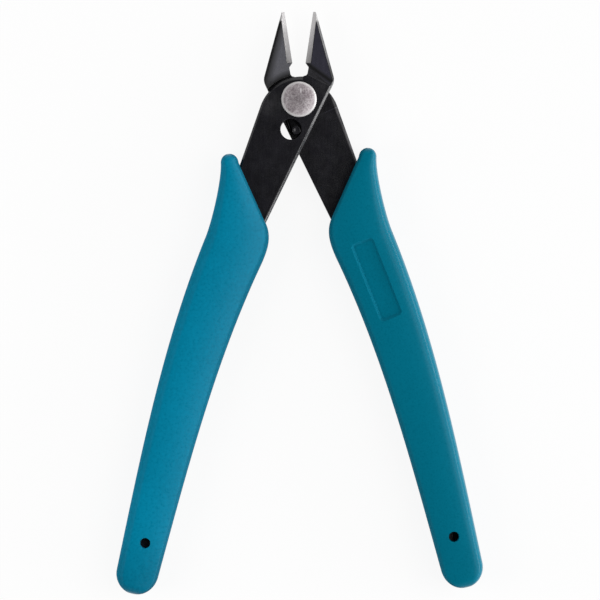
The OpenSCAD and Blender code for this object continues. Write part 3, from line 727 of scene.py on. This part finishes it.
def gripStations():
    rounds = lambda w: (grip["outerRound"] * w, grip["innerRound"] * w)
    outerPalm = palm + outward(0) * grip["palmWidth"] / 2
    innerPalm = palm - outward(0) * grip["palmWidth"] / 2
    mouthDir = tilted(grip["mouthTilt"])
    corner = Vector((-grip["cornerX"], grip["cornerRise"] + palm.y))
    mouthEnd = corner + mouthDir * grip["mouthLength"]
    hornDir = tilted(grip["hornLean"])
    hornOut = mouthEnd - grip["hornWidth"] * Vector((hornDir.y, -hornDir.x))
    risePull = grip["riseEase"] * (hornOut - outerPalm).length
    bulgePull = grip["bulgeEase"] * (corner - innerPalm).length
    rise = [outerPalm, outerPalm - palmDir * risePull, hornOut - hornDir * risePull, hornOut]
    bulge = [innerPalm, innerPalm - palmDir * bulgePull, corner - mouthDir * bulgePull, corner]
    caps = grip["capSteps"]
    stations = []
    for k in range(caps, 0, -1):
        stations.append(capStation(tail, tailDir, outward(1), grip["tailWidth"] / 2,
                                   rounds(grip["tailWidth"]), 90 * k / caps))
    for k in range(grip["bodySteps"], -1, -1):
        f = k / grip["bodySteps"]
        side = outward(f) * gripWidth(f) / 2
        stations.append((axisAt(f) + side, axisAt(f) - side, 1.0, *rounds(gripWidth(f))))
    outerRound, innerRound = rounds(grip["palmWidth"])
    bulgeShare = grip["bulgeShare"]
    for k in range(1, grip["topSteps"] + 1):
        f = k / grip["topSteps"]
        if f < bulgeShare:
            inner = bezier(bulge, f / bulgeShare)
        else:
            inner = mix(corner, mouthEnd, (f - bulgeShare) / (1 - bulgeShare))
        stations.append((bezier(rise, f), inner, 1.0, mix(outerRound, grip["hornRound"], f),
                         mix(innerRound, grip["lipRound"], eased(min(1, f / grip["lipEase"])))))
    hornSide = (hornOut - mouthEnd).normalized()
    hornUp = Vector((hornSide.y, -hornSide.x))
    for k in range(1, caps + 1):
        stations.append(capStation((hornOut + mouthEnd) / 2, hornUp, hornSide, grip["hornWidth"] / 2,
                                   (grip["hornRound"], grip["lipRound"]), 90 * k / caps))
    return stations


def loftTree():
    tree, given, result = newTree("gripLoftTree", [
        ("Geometry", "Geometry"), ("Stations", "Int"), ("Ring Steps", "Int"), ("Thickness", "Float"),
        ("Outer Most", "Float"), ("Inner Most", "Float"), ("Face Slope", "Float"), ("Inner Turn", "Float"),
        ("Face Steps", "Int"), ("Side Power", "Float"), ("Seam Depth", "Float"), ("Seam Most", "Float"),
        ("Seam Angle", "Float"), ("Merge", "Float"), ("Finish", "Material")])
    # each row of the grid is a ring: the outer half, the inner half, then steps back over the front face
    index = addNode(tree, "GeometryNodeInputIndex").outputs[0]
    half = calc(tree, "ADD", given["Ring Steps"], 1.0)
    sides = calc(tree, "MULTIPLY", half, 2.0)
    ring = calc(tree, "ADD", sides, given["Face Steps"])
    columns = calc(tree, "ADD", ring, 1.0)
    grid = addNode(tree, "GeometryNodeMeshGrid",
                   {"Vertices X": given["Stations"], "Vertices Y": columns}).outputs[0]
    row = calc(tree, "FLOOR", calc(tree, "DIVIDE", calc(tree, "ADD", index, 0.5), columns))
    column = calc(tree, "SUBTRACT", index, calc(tree, "MULTIPLY", row, columns))
    column = calc(tree, "FLOORED_MODULO", column, ring)
    onFace = calc(tree, "MAXIMUM", calc(tree, "SUBTRACT", calc(tree, "ADD", column, 1.0), sides), 0.0)
    overFace = calc(tree, "DIVIDE", onFace, calc(tree, "ADD", given["Face Steps"], 1.0))
    inSide = calc(tree, "GREATER_THAN", column, calc(tree, "SUBTRACT", half, 0.5))
    step = calc(tree, "SUBTRACT", column, calc(tree, "MULTIPLY", inSide, half))
    step = calc(tree, "MINIMUM", step, given["Ring Steps"])
    inward = calc(tree, "MULTIPLY_ADD", inSide, -2.0, 1.0)
    turn = calc(tree, "DIVIDE", calc(tree, "MULTIPLY", step, pi), given["Ring Steps"])
    angle = calc(tree, "MULTIPLY", calc(tree, "SUBTRACT", pi / 2, turn), inward)
    sloped = calc(tree, "MULTIPLY", inSide, calc(tree, "GREATER_THAN", angle, given["Seam Angle"]))
    fewer = calc(tree, "SUBTRACT", calc(tree, "DIVIDE", given["Inner Turn"], 90.0), 1.0)
    angle = calc(tree, "MULTIPLY", angle, calc(tree, "MULTIPLY_ADD", sloped, fewer, 1.0))

    def atStation(value, kind):
        return addNode(tree, "GeometryNodeSampleIndex",
                       {"Geometry": given["Geometry"], "Value": value, "Index": row},
                       data_type=kind, domain="POINT").outputs[0]

    def stationValue(name, kind="FLOAT"):
        stored = addNode(tree, "GeometryNodeInputNamedAttribute", {"Name": name}, data_type=kind)
        return atStation(stored.outputs[0], kind)

    outer = atStation(addNode(tree, "GeometryNodeInputPosition").outputs[0], "FLOAT_VECTOR")
    inner = stationValue("innerPoint", "FLOAT_VECTOR")
    across = vec(tree, "SUBTRACT", inner, outer)
    width = vec(tree, "LENGTH", across)
    across = vec(tree, "NORMALIZE", across)
    outerMost = calc(tree, "MULTIPLY", width, given["Outer Most"])
    innerMost = calc(tree, "MULTIPLY", width, given["Inner Most"])
    outerRound = calc(tree, "MINIMUM", stationValue("outerRound"), outerMost)
    innerRound = calc(tree, "MINIMUM", stationValue("innerRound"), innerMost)
    # how far the side stands in from the edge, with a parting seam at its middle
    rounding = between(tree, "FLOAT", inSide, outerRound, innerRound)
    inOver = calc(tree, "POWER", calc(tree, "ABSOLUTE", calc(tree, "COSINE", angle)), given["Side Power"])
    fromEdge = calc(tree, "MULTIPLY", rounding, calc(tree, "SUBTRACT", 1.0, inOver))
    onSeam = calc(tree, "LESS_THAN", calc(tree, "ABSOLUTE", angle), given["Seam Angle"])
    seamMost = calc(tree, "MULTIPLY", width, given["Seam Most"])
    seam = calc(tree, "MULTIPLY", onSeam, calc(tree, "MINIMUM", given["Seam Depth"], seamMost))
    fromEdge = calc(tree, "MULTIPLY", calc(tree, "ADD", fromEdge, seam), inward)
    flank = vec(tree, "ADD", between(tree, "VECTOR", inSide, outer, inner),
                vec(tree, "SCALE", across, scale=fromEdge))
    # how high it stands: the inner side is lower by the face's slope
    tall = calc(tree, "DIVIDE", given["Thickness"], 2.0)
    face = calc(tree, "SUBTRACT", calc(tree, "SUBTRACT", width, outerRound), innerRound)
    lower = calc(tree, "DIVIDE", calc(tree, "MULTIPLY", face, given["Face Slope"]), tall)
    share = calc(tree, "SUBTRACT", 1.0, calc(tree, "MULTIPLY", sloped, lower))
    full = calc(tree, "MULTIPLY", stationValue("rise"), tall)
    upOver = calc(tree, "POWER", calc(tree, "ABSOLUTE", calc(tree, "SINE", angle)), given["Side Power"])
    high = calc(tree, "MULTIPLY", calc(tree, "MULTIPLY", full, share),
                calc(tree, "MULTIPLY", upOver, calc(tree, "SIGN", angle)))
    # the front face crowns from the inner side up to the outer side
    crown = calc(tree, "MULTIPLY", overFace, calc(tree, "SUBTRACT", 2.0, overFace))
    high = calc(tree, "MULTIPLY_ADD", calc(tree, "SUBTRACT", full, high), crown, high)
    outerTop = vec(tree, "ADD", outer, vec(tree, "SCALE", across, scale=outerRound))
    lift = addNode(tree, "ShaderNodeCombineXYZ", {"Z": high}).outputs[0]
    place = vec(tree, "ADD", between(tree, "VECTOR", overFace, flank, outerTop), lift)
    shape = addNode(tree, "GeometryNodeSetPosition", {"Geometry": grid, "Position": place}).outputs[0]
    # how far each side turns from the face, for the finish's dulling and painted shade
    sideways = calc(tree, "MULTIPLY", calc(tree, "COSINE", angle), calc(tree, "LESS_THAN", onFace, 0.5))
    innerSide = calc(tree, "MULTIPLY", sideways, inSide)
    outerSide = calc(tree, "SUBTRACT", sideways, innerSide)
    for label, value in (("innerSide", innerSide), ("outerSide", outerSide)):
        shape = addNode(tree, "GeometryNodeStoreNamedAttribute",
                        {"Geometry": shape, "Name": label, "Value": value},
                        data_type="FLOAT", domain="POINT").outputs[0]
    shape = addNode(tree, "GeometryNodeMergeByDistance",
                    {"Geometry": shape, "Distance": given["Merge"]}).outputs[0]
    finishTree(tree, shape, given["Finish"], result)
    return tree


def tangEdge(side, y, room):
    tilt = radians(tang[side + "Tilt"])
    return Vector(((y * sin(tilt) + tang[side + "Off"]) / cos(tilt) + room, y))


def tangOutline(room):
    end = 1 - tang["short"] / axisLength
    shares = [end * k / tang["steps"] for k in range(tang["steps"] + 1)]
    half = lambda f: mix(tang["wide"], tang["endWide"], f / end) / 2 + room
    outline = [tangEdge("outer", 0, -room), tangEdge("outer", palm.y, -room)]
    outline += [axisAt(f) + outward(f) * half(f) for f in shares[1:]]
    along, out = axisDir(end), outward(end)
    outline += [axisAt(end) + half(end) * (out * cos(radians(a)) + along * sin(radians(a)))
                for a in range(tang["endTurn"], 180, tang["endTurn"])]
    outline += [axisAt(f) - outward(f) * half(f) for f in reversed(shares)]
    outline += [tangEdge("inner", palm.y, room), tangEdge("inner", 0, room)]
    return outline


def pinHoleCutter(sit, floorZ):
    f = 1 - mark["pinHoleUp"] / axisLength
    at = axisAt(f) - outward(f) * mark["pinHoleIn"] - Vector((0, sit))
    r, flare = mark["pinHole"], mark["flare"]
    low = floorZ - mark["holeBelow"]
    flareTop = grip["thick"] / 2 - mark["flareDown"]
    high = grip["thick"] / 2 + mark["holeAbove"]
    profile = [(0, low), (r, low), (r, flareTop - flare)]
    for a in (radians(turn) for turn in mark["flareTurns"]):
        profile.append((r + flare * (1 - cos(a)), flareTop - flare * (1 - sin(a))))
    profile += [(r + 2 * flare, high), (0, high)]
    return lathe("pinHoleCutter", profile, mark["holeSteps"], at)


def roundedBox(halfLong, halfWide, corner):
    loop = []
    for cx, cy, start in ((1, 1, 0), (-1, 1, 90), (-1, -1, 180), (1, -1, 270)):
        x, y = cx * (halfLong - corner), cy * (halfWide - corner)
        for k in range(mark["cornerSteps"] + 1):
            a = radians(start + 90 * k / mark["cornerSteps"])
            loop.append((x + corner * cos(a), y + corner * sin(a)))
    return loop


def labelCutter():
    f = mark["labelDown"] / axisLength
    centre = axisAt(f) - outward(f) * mark["labelIn"]
    turn = atan2(axisDir(f).y, axisDir(f).x)
    lean = radians(grip["lean"])
    downFace = gripWidth(f) / 2 + mark["labelIn"] - grip["outerRound"] * gripWidth(f)
    faceHigh = grip["thick"] / 2 - tan(lean) * downFace
    halfLong, halfWide = mark["labelLong"] / 2, mark["labelWide"] / 2
    deep, draft = mark["labelDeep"], mark["draft"]
    spread = draft + 2 * draft * mark["labelAbove"] / deep
    floor = roundedBox(halfLong - draft, halfWide - draft, mark["corner"])
    rim = roundedBox(halfLong + spread, halfWide + spread, mark["corner"] + spread + draft)
    cutter = prism("labelCutter", floor, rim, -deep, mark["labelAbove"])
    walls = cutter.data.attributes.new("recessWall", "FLOAT", "FACE")
    onWall = [float(abs(face.normal.z) < mark["wallLean"]) for face in cutter.data.polygons]
    walls.data.foreach_set("value", onWall)
    cutter.data.transform(Matrix.Translation((centre.x, centre.y, faceHigh))
                          @ Matrix.Rotation(turn, 4, "Z") @ Matrix.Rotation(-lean, 4, "X"))
    return cutter


def gripPiece(name, sit, slotLow, slotHigh, place, labelled, finish):
    stations = gripStations()
    spine = bpy.data.meshes.new(name)
    spine.from_pydata([(s[0].x, s[0].y, 0) for s in stations], [], [])
    inner = spine.attributes.new("innerPoint", "FLOAT_VECTOR", "POINT")
    inner.data.foreach_set("vector", [v for s in stations for v in (s[1].x, s[1].y, 0)])
    for column, label in ((2, "rise"), (3, "outerRound"), (4, "innerRound")):
        stored = spine.attributes.new(label, "FLOAT", "POINT")
        stored.data.foreach_set("value", [s[column] for s in stations])
    piece = linkPiece(name, spine)
    growPiece(piece, loftTree(), {
        "Stations": len(stations), "Ring Steps": grip["ringSteps"], "Thickness": grip["thick"],
        "Outer Most": grip["outerMost"], "Inner Most": grip["innerMost"],
        "Face Slope": tan(radians(grip["lean"])), "Inner Turn": grip["innerTurn"],
        "Face Steps": grip["faceSteps"], "Side Power": grip["sidePower"], "Seam Depth": grip["seam"],
        "Seam Most": grip["seamMost"], "Seam Angle": grip["seamAngle"], "Merge": grip["merge"],
        "Finish": finish})
    settle(piece, Matrix.Translation((0, -sit, 0)), grip["sharpFrom"])
    outline = tangOutline(grip["fit"])
    carve(piece, prism("tangSlot", outline, outline, slotLow - grip["fit"], slotHigh + grip["fit"]))
    carve(piece, pinHoleCutter(sit, slotHigh))
    if labelled:
        carve(piece, labelCutter())
    coat(piece, finish)
    settle(piece, place, grip["sharpFrom"])
    return piece


leftGrip = gripPiece("leftGripMoulded", grip["leftSet"], lapGap / 2, plateTop, frontPlace, False, leftTeal)
rightGrip = gripPiece("rightGripMoulded", 0.0, -plateTop, -lapGap / 2, rearPlace, True, rightTeal)
enlist(leftGrip, "left_grip", "front_half")
enlist(rightGrip, "right_grip", "rear_half")
print("grips:", len(leftGrip.data.polygons), len(rightGrip.data.polygons), "faces")


# floor, light and camera

studio = {"floor": 8.0, "floorDrop": 0.0001, "floorWhite": 0.9, "keepShadow": 0.1, "horizon": 0.72,
          "zenith": 0.03, "skyStops": (0.6, 0.95), "rightward": 0.8,
          "keyAt": (0.25, 0.02, 0.433), "keySize": (0.30, 0.30), "keyRadiance": 2.4,
          "lowAt": (0.6, 0.0, 0.106), "lowSize": (0.6, 0.2), "lowRadiance": 7.0,
          "fillAt": (-0.3, -0.05, 0.25), "fillSize": (0.2, 0.3), "fillRadiance": 3.2,
          "lens": 180, "sensor": 36, "nearest": 0.01, "distance": 0.63, "focusHigh": 0.005,
          "aim": (0.000107, 0.00049), "roll": -0.14}


def floorFinish():
    finish = bpy.data.materials.new("paleFloor")
    finish.use_nodes = True
    tree = finish.node_tree
    tree.nodes.clear()
    seen = addNode(tree, "ShaderNodeLightPath").outputs
    direct = calc(tree, "ADD", seen["Is Camera Ray"], seen["Is Glossy Ray"])
    direct = calc(tree, "ADD", direct, seen["Is Transmission Ray"])
    share = calc(tree, "MULTIPLY", calc(tree, "MINIMUM", direct, 1.0), 1 - studio["keepShadow"])
    white = studio["floorWhite"]
    matte = addNode(tree, "ShaderNodeBsdfDiffuse", {"Color": (white, white, white, 1)}).outputs[0]
    glow = addNode(tree, "ShaderNodeEmission", {"Color": (1, 1, 1, 1), "Strength": 1.0}).outputs[0]
    both = addNode(tree, "ShaderNodeMixShader", {0: share, 1: matte, 2: glow}).outputs[0]
    addNode(tree, "ShaderNodeOutputMaterial", {"Surface": both})
    return finish


def floorPiece():
    half = studio["floor"] / 2
    corners = [(-half, -half, 0), (half, -half, 0), (half, half, 0), (-half, half, 0)]
    mesh = bpy.data.meshes.new("paleFloor")
    mesh.from_pydata(corners, [], [(0, 1, 2, 3)])
    mesh.materials.append(floorFinish())
    floor = linkPiece("paleFloor", mesh)
    floor.location.z = -studio["floorDrop"]


def skyLight():
    world = bpy.data.worlds.new("studioSky")
    world.use_nodes = True
    scene.world = world
    tree = world.node_tree
    way = addNode(tree, "ShaderNodeTexCoord").outputs["Generated"]
    parts = addNode(tree, "ShaderNodeSeparateXYZ", {0: way}).outputs
    greys = [(level, level, level) for level in (studio["horizon"], studio["zenith"])]
    shade = ramp(tree, parts["Z"], studio["skyStops"], greys)
    sideways = calc(tree, "MULTIPLY_ADD", parts["X"], studio["rightward"], 1.0)
    sky = next(n for n in tree.nodes if n.type == "BACKGROUND")
    tree.links.new(vec(tree, "SCALE", shade, scale=sideways), sky.inputs["Color"])


def lightPanel(name, inGloss=True):
    at, size = studio[name + "At"], studio[name + "Size"]
    lamp = bpy.data.lights.new(name, "AREA")
    lamp.shape = "RECTANGLE"
    lamp.size, lamp.size_y = size
    lamp.energy = studio[name + "Radiance"] * pi * size[0] * size[1]
    panel = linkPiece(name, lamp)
    panel.location = at
    panel.rotation_euler = (-Vector(at)).to_track_quat("-Z", "Y").to_euler()
    panel.visible_camera = False
    panel.visible_glossy = inGloss


def mainCamera():
    lens = bpy.data.cameras.new("mainCamera")
    lens.lens = studio["lens"]
    lens.sensor_width = studio["sensor"]
    lens.clip_start = studio["nearest"]
    camera = linkPiece("mainCamera", lens)
    camera.location = (*studio["aim"], studio["focusHigh"] + studio["distance"])
    camera.rotation_euler = (0, 0, radians(studio["roll"]))
    scene.camera = camera


floorPiece()
skyLight()
lightPanel("key")
lightPanel("low")
lightPanel("fill", False)
mainCamera()
print("studio set")
